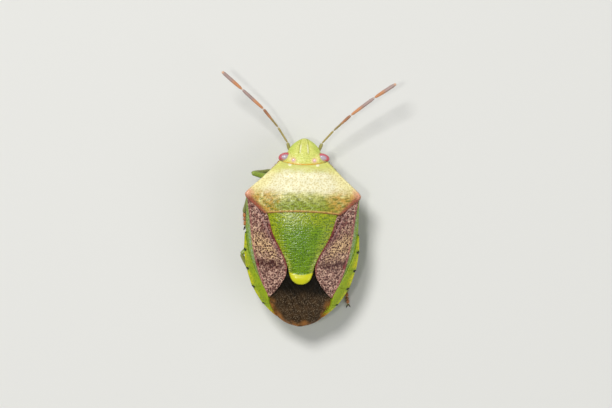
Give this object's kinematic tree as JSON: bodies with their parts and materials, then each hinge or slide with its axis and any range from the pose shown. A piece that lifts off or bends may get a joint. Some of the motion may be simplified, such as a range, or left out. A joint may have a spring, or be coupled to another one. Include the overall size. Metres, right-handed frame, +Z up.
{
  "type": "shield bug",
  "caption": "Life-size shield bug standing at rest: broad domed shield behind the head, folded forewings with veined membranes, jointed feelers and legs, and a beak folded under the body.",
  "frame": {"origin": "on the floor under the middle of the whole insect, feelers included, with the soles at z = 0", "axes": "+Y towards the head, +X to the animal's right, +Z up"},
  "size_m": [0.0094, 0.0135, 0.004],
  "materials": {
    "head_shell": "yellow-green cuticle, finely pitted, with paler lobes and a satin gloss",
    "eye": "compound eye, grey-pink with a red rim, glossy",
    "antenna": "green to orange-brown joints with grey ends and fine short hair",
    "pronotum_shell": "cream in front and olive green behind, pitted, with pinkish brown shoulders",
    "scutellum_shell": "bright green cuticle with fine dark pits and a yellow tip",
    "forewing": "red-brown leathery wing with dark pits and cream mottling, and a smoky brown membrane",
    "body_shell": "yellow-green cuticle with small dark dots at the rim",
    "leg_shell": "green legs with orange-brown feet, dark claws and short hair"
  },
  "bodies": {
    "root": {"head": "head_shell", "eye_left": "eye", "eye_right": "eye", "antenna_left": "antenna", "antenna_right": "antenna", "rostrum": "body_shell", "pronotum": "pronotum_shell", "scutellum": "scutellum_shell", "forewing_left": "forewing", "forewing_right": "forewing", "thorax": "body_shell", "abdomen": "body_shell", "leg_fore_left": "leg_shell", "leg_fore_right": "leg_shell", "leg_mid_left": "leg_shell", "leg_mid_right": "leg_shell", "leg_hind_left": "leg_shell", "leg_hind_right": "leg_shell"}
  },
  "joints": []
}
